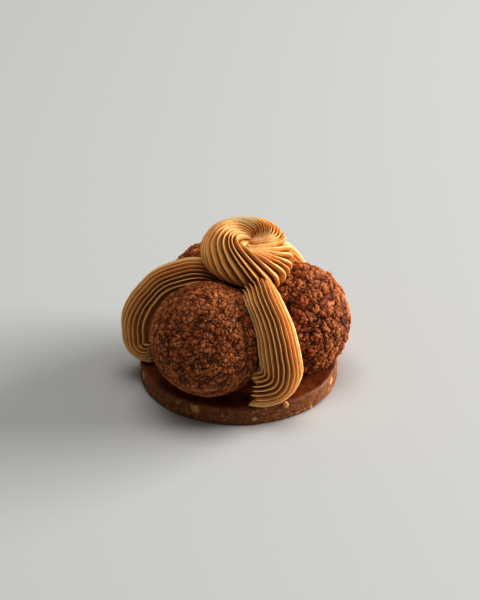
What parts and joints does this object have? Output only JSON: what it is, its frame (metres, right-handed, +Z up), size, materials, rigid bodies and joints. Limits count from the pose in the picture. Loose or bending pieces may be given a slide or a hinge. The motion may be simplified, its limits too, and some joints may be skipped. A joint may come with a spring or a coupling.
{
  "type": "saint honore pastry",
  "caption": "Individual saint honore pastry: crackle-crusted choux buns on a caramelised puff disc, with ribbed cream ropes in the grooves and a swirled cream rosette on top.",
  "frame": {"origin": "centre of the puff disc's underside, on the surface the pastry stands on", "axes": "+Z up, -Y towards the front, where the left bun and the front rope show side by side, +X to the right seen from the front"},
  "size_m": [0.0955, 0.0964, 0.0697],
  "materials": {
    "puff": "caramelised puff pastry: a glossy dark brown top and a matte, layered brown side",
    "crust": "baked cocoa crackle crust, matte with small sugary glints, broken into crumbs and clefts",
    "cream": "piped caramel cream with a soft satin surface"
  },
  "bodies": {
    "root": {"puff_disc": "puff", "chou_left": "crust", "chou_right": "crust", "chou_back": "crust", "rope_front": "cream", "rope_left": "cream", "rope_back": "cream", "rosette": "cream"}
  },
  "joints": []
}
